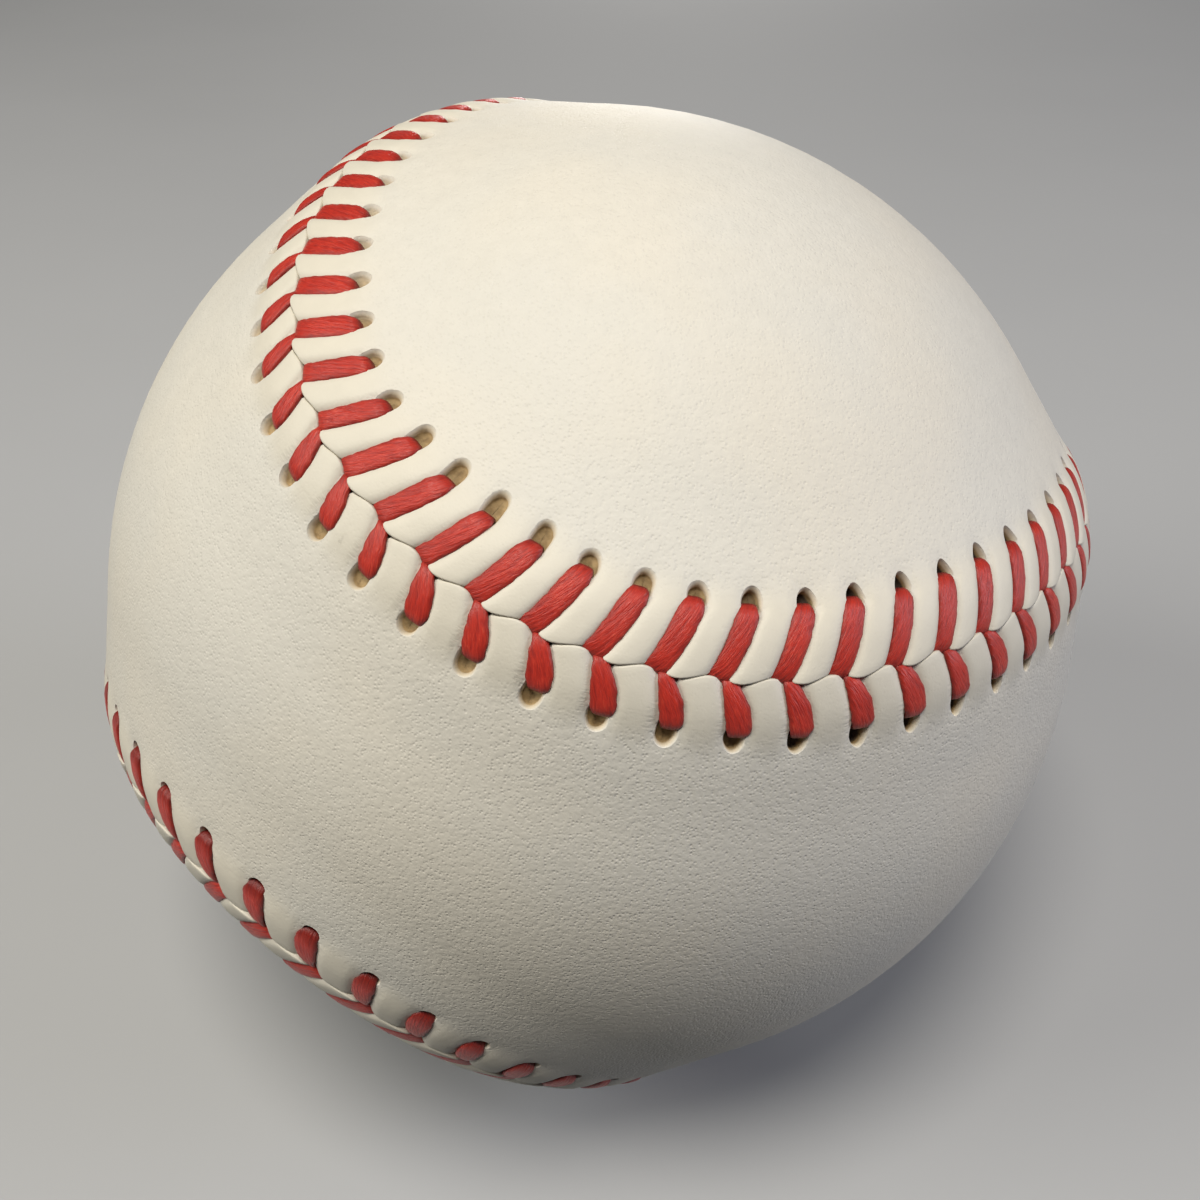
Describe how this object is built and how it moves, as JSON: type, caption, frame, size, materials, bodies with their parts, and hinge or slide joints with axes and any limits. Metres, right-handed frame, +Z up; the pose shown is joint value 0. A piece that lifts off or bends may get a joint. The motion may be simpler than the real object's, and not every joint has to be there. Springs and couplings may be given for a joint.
{
  "type": "leather baseball",
  "caption": "Hand-sewn white leather ball with red herringbone stitching over wool windings and a cork and rubber centre.",
  "frame": {"origin": "centre of the ball", "axes": "+Z up as the ball lies on its rest spot, -Y towards the picture's viewer, +X to that viewer's right"},
  "size_m": [0.0759, 0.0751, 0.0742],
  "materials": {
    "cork": "bare ground cork",
    "black_rubber": "moulded matte rubber",
    "red_rubber": "moulded matte rubber",
    "grey_wool": "wound wool yarn",
    "white_wool": "wound wool yarn",
    "finish_yarn": "wound cotton and polyester yarn",
    "white_leather": "tanned, fine pebbled grain, satin",
    "red_thread": "waxed cotton thread"
  },
  "bodies": {
    "root": {"cork_core": "cork", "inner_rubber_lower": "black_rubber", "inner_rubber_upper": "black_rubber", "rubber_gasket": "red_rubber", "outer_rubber_lower": "red_rubber", "outer_rubber_upper": "red_rubber", "winding_first_grey": "grey_wool", "winding_second_white": "white_wool", "winding_third_grey": "grey_wool", "winding_finish_yarn": "finish_yarn", "cover_panel_a": "white_leather", "cover_panel_b": "white_leather", "stitch_thread_a": "red_thread", "stitch_thread_b": "red_thread"}
  },
  "joints": []
}
